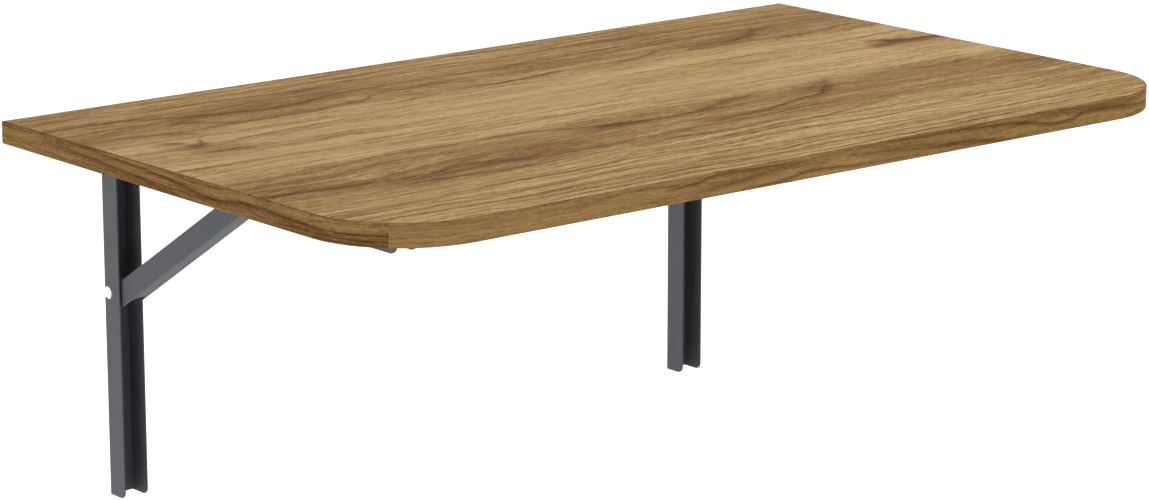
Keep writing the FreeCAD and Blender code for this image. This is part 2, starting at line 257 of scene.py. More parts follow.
strut_material = powder_coat("graphite_coat_on_the_struts_with_painted_light", STRUT_PAINTED_SHADE, STRUT_PAINTED_LIGHT)
for side in SIDES:
    dress("strut_" + side, strut_material)


# ---- Arms ----
# Channels of the same coated sheet under the leaf, screwed to it from below. Each turns
# on a rivet at its rail's top, and the slide pin runs in its two long slots.
for side in SIDES:
    dress("support_arm_" + side, coat_material)


# ---- Pivot rivets and slide pins ----
# The rivets are set before coating and carry the coat; the slide pins and the tubes
# between the flanges are bright zinc plated, and turned, so fine rings show.
ZINC = (0.60, 0.61, 0.62, 1)
ZINC_DULL = (0.42, 0.43, 0.44, 1)
ZINC_CLOUD_MM = 2.2
ZINC_RING_MM = 0.12           # pitch of the turned rings along the pin
ZINC_AROUND_MM = 6.0
ZINC_ROUGHNESS = 0.28
ZINC_CLOUD_DULLS = 0.2
ZINC_BUMP_MM = 0.01
ZINC_BUMP_STRENGTH = 0.4


def zinc_plate():
    zinc = Finish("bright_zinc_plate")
    cloud = zinc.cloud(ZINC_CLOUD_MM, detail=3.0)
    turned = zinc.noise(zinc.x / ZINC_RING_MM, zinc.y / ZINC_AROUND_MM, zinc.z / ZINC_AROUND_MM)
    zinc.shine(Base_Color=zinc.mix(cloud, ZINC_DULL, ZINC), Metallic=1.0,
               Roughness=ZINC_ROUGHNESS + cloud * ZINC_CLOUD_DULLS)
    zinc.relief(turned, ZINC_BUMP_MM, ZINC_BUMP_STRENGTH)
    return zinc.material


zinc_material = zinc_plate()
for side in SIDES:
    dress("arm_rivet_" + side, coat_material)
    dress("foot_rivet_" + side, coat_material)
    for piece in ("slide_pin_", "arm_sleeve_", "foot_sleeve_"):
        dress(piece + side, zinc_material)


# ---- Spacers ----
# Black nylon rings on the foot rivet that keep the strut's ears off the rail. They are
# moulded with a fine matt skin.
NYLON_BLACK = (0.016, 0.016, 0.018, 1)
NYLON_RUBBED = (0.035, 0.035, 0.038, 1)
NYLON_ROUGHNESS = 0.45
NYLON_SKIN_MM = 0.4
NYLON_RUB_MM = 3.0
NYLON_SKIN_DULLS = 0.2
NYLON_BUMP_MM = 0.02
NYLON_BUMP_STRENGTH = 0.5


def black_nylon():
    nylon = Finish("black_nylon")
    skin = nylon.cloud(NYLON_SKIN_MM)
    rub = nylon.cloud(NYLON_RUB_MM, detail=3.0)
    nylon.shine(Base_Color=nylon.mix(rub, NYLON_BLACK, NYLON_RUBBED),
                Roughness=NYLON_ROUGHNESS + skin * NYLON_SKIN_DULLS)
    nylon.relief(skin, NYLON_BUMP_MM, NYLON_BUMP_STRENGTH)
    return nylon.material


nylon_material = black_nylon()
for side in SIDES:
    dress("foot_spacers_" + side, nylon_material)


# ---- Leaf ----
# Particle board 22 mm thick, faced above and below with a rustic oak decor whose grain
# runs along the table. Two brown heart zones lie beside honey-coloured ones, with dark
# wavy lines, flames, three knots and short open pores. The facing is satin.
OAK_PALE = (0.512, 0.352, 0.168, 1)
OAK_HONEY = (0.375, 0.238, 0.096, 1)
OAK_BROWN = (0.228, 0.115, 0.036, 1)
OAK_TONES = ((0.05, OAK_PALE), (0.45, OAK_HONEY), (0.95, OAK_BROWN))
# What a full stroke, ring, pore or knot leaves of the colour under it
DEEP_BROWN = (0.46, 0.32, 0.10, 1)
DEEP_RED = (0.53, 0.36, 0.30, 1)
DEEP_RING = (0.36, 0.23, 0.04, 1)
DEEP_PORE = (0.26, 0.15, 0.03, 1)
DEEP_KNOT = (0.38, 0.29, 0.24, 1)
OAK_ROUGHNESS = 0.5
OAK_IOR = 1.45
OAK_GLOSS = 0.012
BOARD_LENGTH_MM = 1000.0
BOARD_DEPTH_MM = 600.0
BAND_THICKNESS_MM = 2.0
leaf_low, leaf_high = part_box("leaf_core")
BOARD_LEFT_MM = leaf_low[0] * MM - BAND_THICKNESS_MM
# How far the printed lines leave the straight: a long drift, a sway, small jags
GRAIN_DRIFT_MM = 46.0
GRAIN_SWAY_MM = 14.0
GRAIN_JAG_MM = 4.0
STROKE_SWAY_MM = 11.0
# Noise layers of the print: its grain in mm along and across the lines, its place in the
# stack of layers, detail, roughness
DRIFT = (330.0, 160.0, 3.1, 1.0, 0.5)
SWAY = (75.0, 40.0, 7.7, 2.0, 0.5)
JAG = (17.0, 12.0, 2.2, 1.0, 0.5)
STREAKS = (260.0, 11.0, 5.5, 4.0, 0.6)
GRIT = (9.0, 1.9, 6.6, 3.0, 0.7)
FIBRE = (65.0, 2.6, 0.0, 4.0, 0.62)
HAIR = (20.0, 1.1, 2.0, 2.0, 0.5)
RING_DRIFT = (420.0, 38.0, 1.3, 2.0, 0.5)
RING_PATCH = (170.0, 14.0, 9.2, 2.0, 0.5)
# Tone across the board from the wall to the front: (place in mm, darkness)
BOARD_TONE = ((0, 0.46), (30, 0.50), (90, 0.68), (140, 0.64), (180, 0.28), (260, 0.22),
              (335, 0.28), (365, 0.66), (440, 0.74), (485, 0.46), (530, 0.36), (600, 0.38))
# Dark grain strokes: half width in mm, then (along, from the wall, depth of colour)
BROWN_STROKES = (
    (7.0, ((0, 68, 0.9), (60, 70, 0.8), (100, 78, 0.7), (150, 96, 1.0), (200, 107, 0.9),
           (250, 112, 1.0), (300, 101, 0.9), (400, 94, 0.6), (600, 90, 0.7), (780, 80, 0.0))),
    (6.0, ((660, 54, 0.0), (720, 50, 0.8), (800, 50, 0.7), (900, 53, 0.8), (1000, 60, 0.9))),
    (4.0, ((120, 46, 0.0), (180, 49, 0.7), (250, 54, 0.8), (300, 61, 0.9), (350, 55, 0.7),
           (430, 51, 0.4), (560, 46, 0.0))),
    (4.5, ((150, 10, 0.0), (220, 28, 0.7), (300, 32, 0.6), (400, 35, 0.6), (520, 27, 0.0))),
    (9.0, ((0, 132, 0.7), (50, 140, 0.7), (85, 150, 0.6), (115, 166, 0.0))),
    (5.0, ((110, 116, 0.0), (140, 124, 1.0), (152, 134, 1.0), (168, 147, 1.0),
           (200, 149, 0.7), (270, 147, 0.8), (300, 141, 0.9), (330, 136, 0.9),
           (345, 124, 0.7), (400, 118, 0.5), (500, 112, 0.0))),
    (5.0, ((340, 166, 0.0), (375, 160, 0.8), (420, 156, 0.6), (480, 155, 0.9),
           (530, 152, 0.9), (570, 147, 0.0))),
    (4.5, ((620, 149, 0.0), (665, 144, 0.9), (695, 134, 0.8), (715, 122, 0.0))),
    (3.5, ((125, 208, 0.0), (165, 206, 0.8), (205, 200, 0.9), (250, 198, 0.7), (310, 193, 0.0))),
    (3.5, ((140, 266, 0.0), (185, 262, 0.6), (200, 256, 0.7), (230, 262, 0.7),
           (300, 268, 0.4), (420, 270, 0.0))),
    (3.0, ((190, 290, 0.0), (230, 288, 0.7), (270, 290, 0.0))),
    (3.5, ((0, 296, 0.8), (90, 292, 0.7), (150, 296, 0.0))),
    (6.0, ((60, 352, 0.0), (150, 352, 0.5), (250, 354, 0.7), (350, 358, 0.8),
           (380, 366, 0.9), (420, 378, 1.0), (470, 386, 0.9), (530, 385, 0.8),
           (570, 376, 0.0))),
    (4.5, ((80, 470, 0.0), (150, 462, 0.8), (185, 465, 0.9), (225, 470, 1.0), (300, 464, 0.5),
           (380, 462, 0.0))),
    (4.5, ((430, 460, 0.0), (470, 466, 0.9), (520, 468, 0.6), (560, 466, 0.0))),
    (4.5, ((480, 432, 0.0), (560, 426, 0.9), (610, 416, 0.9), (650, 405, 0.9), (690, 397, 1.0),
           (704, 385, 0.8), (716, 375, 0.6), (730, 362, 0.0))),
    (5.0, ((36, 244, 0.0), (62, 242, 0.6), (90, 240, 1.0), (108, 243, 0.8), (146, 243, 0.3),
           (170, 244, 0.0))),
    (4.5, ((560, 442, 0.0), (600, 437, 0.7), (650, 434, 0.8), (690, 430, 0.0))),
    (4.5, ((470, 488, 0.0), (550, 484, 0.8), (600, 481, 0.8), (650, 472, 0.9), (720, 461, 0.0))),
    (4.0, ((690, 514, 0.0), (750, 503, 0.8), (800, 498, 0.9), (900, 497, 0.7), (1000, 500, 0.6))),
    (5.0, ((840, 166, 0.0), (866, 152, 0.8), (900, 150, 0.7), (940, 148, 0.8),
           (958, 140, 0.5), (1000, 150, 0.4))),
    (6.0, ((935, 376, 0.0), (965, 402, 0.9), (1000, 405, 0.9))),
    (2.6, ((0, 556, 0.8), (60, 560, 1.0), (170, 562, 1.0), (300, 557, 0.8), (480, 559, 1.0),
           (600, 560, 0.8), (760, 556, 1.0), (900, 548, 0.5))),
    (2.2, ((40, 540, 0.0), (180, 544, 0.8), (300, 541, 0.9), (450, 537, 0.8), (580, 543, 0.9),
           (760, 536, 0.5), (860, 530, 0.0))),
    (2.2, ((230, 520, 0.0), (300, 520, 0.9), (440, 514, 0.9), (560, 509, 0.8), (640, 511, 0.7),
           (700, 514, 0.0))),
    (2.4, ((0, 514, 0.5), (150, 516, 0.6), (340, 505, 0.0))),
    (2.2, ((80, 574, 0.0), (240, 576, 0.8), (420, 573, 0.9), (620, 573, 0.9), (820, 566, 0.7),
           (980, 560, 0.4))),
    (2.2, ((180, 590, 0.0), (320, 588, 0.9), (520, 590, 0.7), (700, 584, 0.9), (860, 578, 0.0))),
    (2.4, ((760, 532, 0.0), (860, 526, 0.8), (960, 516, 0.6), (1000, 514, 0.4))),
    (2.6, ((0, 293, 0.6), (160, 300, 0.5), (340, 300, 0.0))),
    (2.4, ((0, 318, 0.7), (140, 314, 0.5), (320, 322, 0.4), (520, 318, 0.5), (700, 322, 0.0))),
    (2.6, ((0, 338, 0.4), (200, 334, 0.6), (330, 338, 0.0))),
    (2.4, ((0, 15, 0.6), (120, 18, 0.8), (300, 17, 0.6), (520, 14, 0.6), (700, 18, 0.0))),
    (2.6, ((600, 34, 0.0), (720, 30, 0.7), (860, 28, 0.6), (1000, 34, 0.7))),
)
RED_STROKES = (
    (9.0, ((735, 145, 0.0), (760, 136, 0.9), (820, 130, 0.9), (845, 120, 1.0),
           (862, 106, 0.7), (890, 98, 0.0))),
    (22.0, ((740, 106, 0.0), (800, 112, 0.5), (850, 104, 0.6), (930, 102, 0.5), (1000, 108, 0.6))),
    (24.0, ((60, 100, 0.0), (130, 108, 0.4), (180, 92, 0.4), (260, 92, 0.0))),
    (11.0, ((410, 384, 0.0), (428, 382, 0.9), (450, 385, 1.0), (475, 388, 0.0))),
    (11.0, ((540, 378, 0.0), (575, 372, 0.8), (602, 362, 1.0), (622, 364, 0.7), (650, 360, 0.0))),
    (8.0, ((687, 397, 0.0), (705, 386, 0.8), (717, 378, 1.0), (727, 368, 1.0), (734, 359, 0.5),
           (746, 353, 0.0))),
    (11.0, ((718, 364, 0.0), (745, 370, 0.4), (775, 367, 0.4), (815, 360, 0.0))),
    (19.0, ((662, 388, 0.0), (690, 379, 0.5), (710, 366, 0.6), (735, 358, 0.4), (760, 352, 0.0))),
    (9.0, ((0, 425, 0.9), (50, 430, 0.9), (100, 434, 0.8), (150, 440, 0.8), (180, 440, 0.9),
           (212, 430, 0.9), (235, 431, 0.8), (280, 446, 0.8), (350, 448, 0.6), (500, 450, 0.0))),
    (24.0, ((0, 405, 0.6), (60, 408, 0.6), (110, 412, 0.0))),
    (26.0, ((120, 462, 0.0), (200, 452, 0.5), (320, 424, 0.6), (380, 424, 0.0))),
    (9.0, ((800, 368, 0.0), (850, 366, 0.6), (900, 371, 0.9), (918, 364, 1.0), (940, 380, 0.0))),
    (12.0, ((895, 248, 0.0), (925, 243, 1.0), (960, 247, 1.0), (1000, 249, 0.9))),
    (24.0, ((40, 214, 0.0), (70, 212, 0.45), (100, 222, 0.4), (125, 226, 0.0))),
    (12.0, ((905, 226, 0.0), (930, 230, 0.7), (950, 240, 0.0))),
    (13.0, ((890, 258, 0.0), (945, 256, 0.8), (1000, 258, 0.7))),
)
KNOT_STROKES = (
    (9.0, ((40, 184, 0.0), (58, 186, 0.7), (68, 189, 1.0), (77, 196, 0.4), (86, 201, 0.0))),
    (8.0, ((70, 210, 0.0), (79, 208, 0.9), (87, 205, 1.0), (93, 196, 0.9), (98, 187, 0.4),
           (104, 179, 0.0))),
    (4.5, ((68, 206, 0.0), (78, 205, 1.0), (90, 204, 1.0), (99, 206, 0.0))),
    (13.0, ((58, 224, 0.0), (76, 224, 0.3), (104, 226, 0.3), (122, 228, 0.0))),
    (12.0, ((906, 212, 0.0), (926, 226, 0.6), (942, 240, 0.9), (962, 247, 0.7), (1000, 250, 0.5))),
    (12.0, ((896, 254, 0.0), (922, 250, 0.5), (942, 242, 0.5), (966, 224, 0.0))),
)
# The strokes are printed in this order: strokes, their even share, what the fibre adds to
# it, and the colour that they leave
STROKE_PASSES = ((RED_STROKES, 0.45, 0.90, DEEP_RED),
                 (BROWN_STROKES, 0.35, 1.05, DEEP_BROWN),
                 (KNOT_STROKES, 0.55, 0.80, DEEP_KNOT))
STROKE_SOFTNESS = 1.25        # a stroke fades over this many half widths
STROKE_SHARP_SIDE = 2.2       # and this much faster on its side towards the wall
RING_PITCH_MM = 11.5
RING_WANDER = 3.2             # how many rings their drift covers
RING_FADE = 4.0               # the higher, the thinner a ring is beside its dark edge
SECOND_RINGS = 2.3            # finer rings between them, per ring
SECOND_FADE = 5.0
SECOND_SHARE = 0.6
RINGS_FROM = 0.24             # rings show where their patch layer is above this level
RINGS_EDGE = 2.8
PORES_BELOW = 0.43            # the hair layer's lows below this level are pores
PORE_EDGE = 7.0
PORE_SHARE = 0.45
# How far the print's layers move its tone
STREAKS_TONE = 1.9
FIBRE_TONE = 2.1
GRIT_TONE = 2.0
PORE_DULLS = 0.2              # roughness that a pore adds and that the fibre takes
FIBRE_SHINES = 0.08
RING_SINKS = 0.3              # depth of a ring in the embossed skin, a pore being 1
BOARD_BUMP_MM = 0.06
BOARD_BUMP_STRENGTH = 0.5
# Rings across the board from the wall to the front: (place in mm, depth)
BOARD_RINGS = ((0, 0.55), (40, 0.70), (110, 0.45), (170, 0.22), (280, 0.34), (340, 0.42),
               (380, 0.32), (450, 0.50), (500, 0.90), (600, 1.0))


def layer(oak, along, line, print_layer, level=0.0):
    """One noise layer of the print at a place along the grain and on the warped line."""
    length, width, place, detail, roughness = print_layer
    return oak.noise(along / length, line / width, level + place, detail, roughness)


def along_board(points, column, full):
    """One column of a stroke or tone list as points from 0 to 1 of the curve node."""
    return [(point[0] / full, point[column]) for point in points]


def stroke(oak, along, across, half_width, points, full):
    """Depth from 0 to 1 of one dark grain line, sharp towards the wall and soft in front."""
    places = [(point[0] / BOARD_LENGTH_MM, point[1] / full) for point in points]
    middle = oak.curve(along / BOARD_LENGTH_MM, places) * full
    depth = oak.curve(along / BOARD_LENGTH_MM, along_board(points, 2, BOARD_LENGTH_MM))
    off = (across - middle) / (half_width * STROKE_SOFTNESS)
    off = off.most(off * -STROKE_SHARP_SIDE)
    return depth / (1.0 + off * off * 2.0 + off ** 4.0)


def strokes(oak, along, across, drawn, full=BOARD_DEPTH_MM):
    total = 0.0
    for half_width, points in drawn:
        total = stroke(oak, along, across, half_width, points, full) + total
    return total.clamp()


def oak_grain(oak, along, line, level):
    """Fibre tone, pores and growth rings along one warped grain coordinate."""
    fibre = layer(oak, along, line, FIBRE, level)
    hair = layer(oak, along, line, HAIR, level)
    loose = layer(oak, along, line, RING_DRIFT, level)
    phase = line / RING_PITCH_MM + loose * RING_WANDER
    ring = (1.0 - phase.fraction()) ** RING_FADE
    second = (1.0 - (phase * SECOND_RINGS).fraction()) ** SECOND_FADE
    patch = layer(oak, along, line, RING_PATCH, level)
    rings = (ring + second * SECOND_SHARE) * ((patch - RINGS_FROM) * RINGS_EDGE).clamp()
    pore = ((PORES_BELOW - hair) * PORE_EDGE).clamp()
    return fibre, pore, rings


def oak_colour(oak, tone, rings, pore):
    colour = oak.ramp(tone, OAK_TONES)
    colour = oak.deepen(rings.clamp(), colour, DEEP_RING)
    return oak.deepen(pore * PORE_SHARE, colour, DEEP_PORE)


def oak_decor():
    oak = Finish("rustic_oak_decor")
    along = oak.x - BOARD_LEFT_MM
    across = oak.y * -1.0
    drift = layer(oak, along, across, DRIFT) - 0.5
    sway = layer(oak, along, across, SWAY) - 0.5
    jag = (layer(oak, along, across, JAG) - 0.5) * GRAIN_JAG_MM
    wander = across + sway * STROKE_SWAY_MM + jag
    line = across + drift * GRAIN_DRIFT_MM + sway * GRAIN_SWAY_MM + jag
    fibre, pore, rings = oak_grain(oak, along, line, 0.0)
    streaky = layer(oak, along, line, STREAKS)
    grit = layer(oak, along, line, GRIT)
    base = oak.curve(wander / BOARD_DEPTH_MM, along_board(BOARD_TONE, 1, BOARD_DEPTH_MM))
    swell = oak.curve(across / BOARD_DEPTH_MM, along_board(BOARD_RINGS, 1, BOARD_DEPTH_MM))
    waves = (streaky - 0.5) * STREAKS_TONE + (fibre - 0.5) * FIBRE_TONE
    tone = base + waves + (grit - 0.5) * GRIT_TONE
    colour = oak_colour(oak, tone, rings * swell, pore)
    for drawn, even, fibrous, left in STROKE_PASSES:
        depth = strokes(oak, along, wander, drawn) * (even + fibre * fibrous)
        colour = oak.deepen(depth.clamp(), colour, left)
    dull = OAK_ROUGHNESS + pore * PORE_DULLS - fibre * FIBRE_SHINES
    oak.shine(Base_Color=colour, Roughness=dull, IOR=OAK_IOR, Specular_IOR_Level=OAK_GLOSS)
    oak.relief(1.0 - pore - rings * RING_SINKS, BOARD_BUMP_MM, BOARD_BUMP_STRENGTH)
    return oak.material


dress("leaf_core", oak_decor())


# ---- Edge bands ----
# Four 2 mm strips glued round the leaf. They are printed with a darker oak, whose grain
# runs along each strip in long wavy lines. Their long edges are milled round, and where
# a rounded edge faces up it is painted darker, a painted shade on the edge lit from above.
BAND_PALE = (0.462, 0.282, 0.110, 1)
BAND_BROWN = (0.185, 0.090, 0.033, 1)
BAND_TONES = ((0.10, BAND_PALE), (0.90, BAND_BROWN))
BAND_DEEP = (0.34, 0.20, 0.14, 1)
BAND_RIM_SHADE = (0.58, 0.55, 0.50, 1)
BAND_RIM_SHADE_EDGE = 1.3        # the painted shade is full a little before the edge faces straight up
BAND_HEIGHT_MM = 22.0
BAND_BUMP_MM = 0.05
BAND_BUMP_STRENGTH = 0.4
# A band's own noise layers and how far they bend its lines
BAND_SWEEP = (190.0, 60.0, 6.1, 1.0, 0.5)
BAND_SWAY = (38.0, 24.0, 8.3, 1.0, 0.5)
BAND_STREAKS = (200.0, 9.0, 5.5, 4.0, 0.6)
BAND_GRIT = (6.0, 1.6, 3.4, 3.0, 0.7)
BAND_SWEEP_MM = 40.0
BAND_SWAY_MM = 9.0
BAND_STROKE_SWAY_MM = 2.0
BAND_LINES = 1.5              # how much closer its lines lie than the board's
# How far the layers move its tone, and how deep its rings, strokes and pores are
BAND_STREAKS_TONE = 2.4
BAND_FIBRE_TONE = 2.2
BAND_GRIT_TONE = 1.6
BAND_RING_SHARE = 0.5
BAND_STROKE_SHARE = 0.75
BAND_PORE_SHARE = 0.35
# How much of the wavy figure shows between a band's strokes
PLAIN_FIGURE = 1.0
LEFT_FIGURE = 0.6
FRONT_FIGURE = 0.5
# Tone along a strip: (place in mm, darkness)
EVEN_TONE = ((0, 0.50), (1000, 0.50))
FRONT_TONE = ((0, 0.18), (60, 0.22), (300, 0.32), (420, 0.34), (1000, 0.32))
# Dark strokes of a strip: half width in mm, then (along, below the top, depth of colour)
LEFT_STROKES = (
    (2.8, ((90, 1, 0.0), (190, 3, 0.8), (235, 5, 0.9), (280, 7, 1.0), (306, 9, 0.9),
           (325, 12, 0.9), (345, 14, 0.9), (369, 12, 0.8), (391, 9, 1.0), (416, 8, 1.0),
           (444, 9, 0.9), (490, 11, 0.7), (520, 11, 0.0))),
    (1.3, ((450, 9, 0.0), (500, 11, 0.9), (560, 11.5, 1.0))),
    (1.2, ((440, 20, 0.0), (490, 16, 0.9), (560, 16.5, 1.0))),
    (3.2, ((40, 4, 0.0), (95, 7, 0.5), (155, 10, 0.8), (194, 12, 0.9), (235, 14, 0.9),
           (270, 17, 0.7), (305, 20, 0.0))),
    (1.4, ((0, 14, 0.6), (60, 15, 0.6), (120, 18, 0.5), (190, 21, 0.0))),
    (2.4, ((240, 0, 0.0), (290, 1, 0.6), (330, 3, 0.7), (370, 3, 0.0))),
    (1.1, ((430, 22, 0.0), (500, 19.5, 0.9), (560, 20.5, 1.0))),
)
FRONT_STROKES = (
    (2.6, ((310, 9, 0.0), (350, 6, 0.9), (380, 2, 0.9), (430, 3, 0.7), (480, 6, 0.0))),
    (4.0, ((335, 16, 0.0), (370, 14, 0.7), (405, 11, 0.8), (440, 8, 0.6), (480, 6, 0.0))),
    (3.0, ((540, 1, 0.0), (655, 2, 0.7), (700, 3, 0.8), (745, 5, 1.0), (775, 8, 1.0),
           (797, 12, 1.0), (812, 13, 1.0), (839, 10, 1.0), (857, 7, 1.0), (895, 8, 0.9),
           (947, 12, 0.8), (985, 13, 0.6))),
    (2.4, ((400, 21, 0.0), (460, 18, 0.9), (497, 15, 1.0), (550, 17, 0.8), (595, 18, 0.6),
           (640, 19, 0.0))),
    (4.2, ((530, 5, 0.0), (565, 8, 0.6), (625, 12, 0.7), (700, 15, 1.0), (722, 18, 1.0),
           (748, 20, 0.0))),
    (4.5, ((760, 1, 0.0), (830, 2, 0.7), (1000, 3, 0.7))),
)


def oak_band(name, run, drawn, tones, figure, level):
    """The print of one band; run gives the place along it, level its own part of the noise."""
    oak = Finish(name)
    along = run(oak)
    height = oak.z - leaf_high[2] * MM
    sweep = layer(oak, along, height, BAND_SWEEP, level) - 0.5
    sway = layer(oak, along, height, BAND_SWAY, level) - 0.5
    line = height * BAND_LINES + sweep * BAND_SWEEP_MM + sway * BAND_SWAY_MM
    fibre, pore, rings = oak_grain(oak, along, line, level)
    streaky = layer(oak, along, line, BAND_STREAKS, level)
    grit = layer(oak, along, line, BAND_GRIT, level)
    base = oak.curve(along / BOARD_LENGTH_MM, along_board(tones, 1, BOARD_LENGTH_MM))
    waves = (streaky - 0.5) * BAND_STREAKS_TONE + (fibre - 0.5) * BAND_FIBRE_TONE
    tone = base + waves * figure + (grit - 0.5) * BAND_GRIT_TONE
    colour = oak.ramp(tone, BAND_TONES)
    colour = oak.deepen((rings * (BAND_RING_SHARE * figure)).clamp(), colour, DEEP_RING)
    if drawn:
        under_top = sway * BAND_STROKE_SWAY_MM - height
        depth = strokes(oak, along, under_top, drawn, BAND_HEIGHT_MM)
        colour = oak.deepen(depth * BAND_STROKE_SHARE, colour, BAND_DEEP)
    colour = oak.deepen(pore * BAND_PORE_SHARE, colour, DEEP_PORE)
    # painted shade: the band is darker where its rounded edge faces up
    painted_rim_shade = (oak.facing((0.0, 0.0, 1.0)) * BAND_RIM_SHADE_EDGE).clamp()
    colour = oak.deepen(painted_rim_shade, colour, BAND_RIM_SHADE)
    oak.shine(Base_Color=colour, Roughness=OAK_ROUGHNESS + pore * PORE_DULLS, IOR=OAK_IOR,
              Specular_IOR_Level=OAK_GLOSS)
    oak.relief(1.0 - pore, BAND_BUMP_MM, BAND_BUMP_STRENGTH)
    return oak.material


dress("edge_band_left", oak_band(
    "oak_band_left", lambda oak: oak.x - BOARD_LEFT_MM - oak.y,
    LEFT_STROKES, EVEN_TONE, LEFT_FIGURE, 21.0))
dress("edge_band_front", oak_band(
    "oak_band_front", lambda oak: oak.x - BOARD_LEFT_MM,
    FRONT_STROKES, FRONT_TONE, FRONT_FIGURE, 34.0))
dress("edge_band_right", oak_band(
    "oak_band_right", lambda oak: oak.x + oak.y, (), EVEN_TONE, PLAIN_FIGURE, 47.0))
dress("edge_band_back", oak_band(
    "oak_band_back", lambda oak: oak.x, (), EVEN_TONE, PLAIN_FIGURE, 58.0))


# ---- Leaf screws ----
# Zinc plated pan head screws with a cross recess. A row of four goes up through each
# arm into the leaf, at one pitch.
SCREW_COUNT = 4
SCREW_SHANK_MM = 2.0          # radii of the shank and of the pan head
SCREW_HEAD_MM = 4.0
HEAD_HEIGHT_MM = 2.4
SCREW_POINT_MM = 3.0
RECESS_DEPTH_MM = 1.3
RECESS_REACH_MM = 2.1         # from the screw's middle to the end of the cross
RECESS_HALF_MM = 0.5
RECESS_TAPER = 1.4            # its floor is level for 0.4 of the reach and then rises
SCREW_SIDES = 64
CROWN_RINGS = 20
PLATE_EDGE_DEG = 40.0
# Side of the head from its crown to its seat: share of the radius, share of the height
HEAD_SIDE = ((0.66, 0.97), (0.78, 0.90), (0.88, 0.77), (0.95, 0.58), (0.99, 0.34), (1.0, 0.0))


def recess_depth(x, y):
    """How far the cross is sunk into the crown at a place, tapering to its ends."""
    near, far = sorted((abs(x), abs(y)))
    if near > RECESS_HALF_MM or far > RECESS_REACH_MM:
        return 0.0
    return RECESS_DEPTH_MM * min(1.0, RECESS_TAPER - far / RECESS_REACH_MM)


def one_screw():
    """Head down, with the seat of its head at the origin, in metres."""
    screw_low, screw_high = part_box("leaf_screws_left")
    length = (screw_high[2] - screw_low[2]) * MM - HEAD_HEIGHT_MM
    crown = HEAD_SIDE[0][0] * SCREW_HEAD_MM
    rings = [(crown * (index + 1) / CROWN_RINGS, -HEAD_HEIGHT_MM) for index in range(CROWN_RINGS)]
    rings += [(radius * SCREW_HEAD_MM, -rise * HEAD_HEIGHT_MM) for radius, rise in HEAD_SIDE]
    rings += [(SCREW_SHANK_MM, 0.0), (SCREW_SHANK_MM, length - SCREW_POINT_MM)]
    screw = bmesh.new()
    loops = []
    for radius, height in rings:
        loop = []
        for index in range(SCREW_SIDES):
            turn = 2.0 * math.pi * index / SCREW_SIDES
            x = radius * math.cos(turn)
            y = radius * math.sin(turn)
            sunk = recess_depth(x, y) if height == -HEAD_HEIGHT_MM else 0.0
            loop.append(screw.verts.new((x / MM, y / MM, (height + sunk) / MM)))
        loops.append(loop)
    recess_floor = screw.verts.new((0, 0, (RECESS_DEPTH_MM - HEAD_HEIGHT_MM) / MM))
    point = screw.verts.new((0, 0, length / MM))
    for index in range(SCREW_SIDES):
        after = (index + 1) % SCREW_SIDES
        screw.faces.new((recess_floor, loops[0][index], loops[0][after]))
        screw.faces.new((loops[-1][index], point, loops[-1][after]))
        for inner, outer in zip(loops, loops[1:]):
            screw.faces.new((inner[index], outer[index], outer[after], inner[after]))
    bmesh.ops.recalc_face_normals(screw, faces=screw.faces)
    mesh = bpy.data.meshes.new("leaf_screw")
    screw.to_mesh(mesh)
    screw.free()
    mesh.shade_smooth()
    mesh.set_sharp_from_angle(angle=math.radians(PLATE_EDGE_DEG))
    return mesh


def screw_rows():
    """Geometry nodes that set the given screw in rows of evenly pitched places."""
    tree = bpy.data.node_groups.new("screw_rows", "GeometryNodeTree")
    kinds = {"Screw": "Geometry", "Count": "Int", "First": "Vector", "Pitch": "Vector",
             "Rows": "Int", "Row Spacing": "Vector", "Plating": "Material"}
    sockets = {}
    for name, kind in kinds.items():
        made = tree.interface.new_socket(name, in_out="INPUT", socket_type="NodeSocket" + kind)
        sockets[name] = made.identifier
    tree.interface.new_socket("Screws", in_out="OUTPUT", socket_type="NodeSocketGeometry")
    given = tree.nodes.new("NodeGroupInput")
    taken = {name: Value(tree, given.outputs[name]) for name in kinds}
    start = Value(tree, None)
    row = start.node("GeometryNodeMeshLine", {"mode": "OFFSET"}, {
        "Count": taken["Count"], "Start Location": taken["First"], "Offset": taken["Pitch"]})
    one_row = start.node("GeometryNodeInstanceOnPoints", {}, {
        "Points": row, "Instance": taken["Screw"]})
    arms = start.node("GeometryNodeMeshLine", {"mode": "OFFSET"}, {
        "Count": taken["Rows"], "Offset": taken["Row Spacing"]})
    all_rows = start.node("GeometryNodeInstanceOnPoints", {}, {
        "Points": arms, "Instance": one_row})
    solid = start.node("GeometryNodeRealizeInstances", {}, {"Geometry": all_rows})
    plated = start.node("GeometryNodeSetMaterial", {}, {
        "Geometry": solid, "Material": taken["Plating"]})
    output = tree.nodes.new("NodeGroupOutput")
    tree.links.new(plated.socket, output.inputs["Screws"])
    return tree, sockets


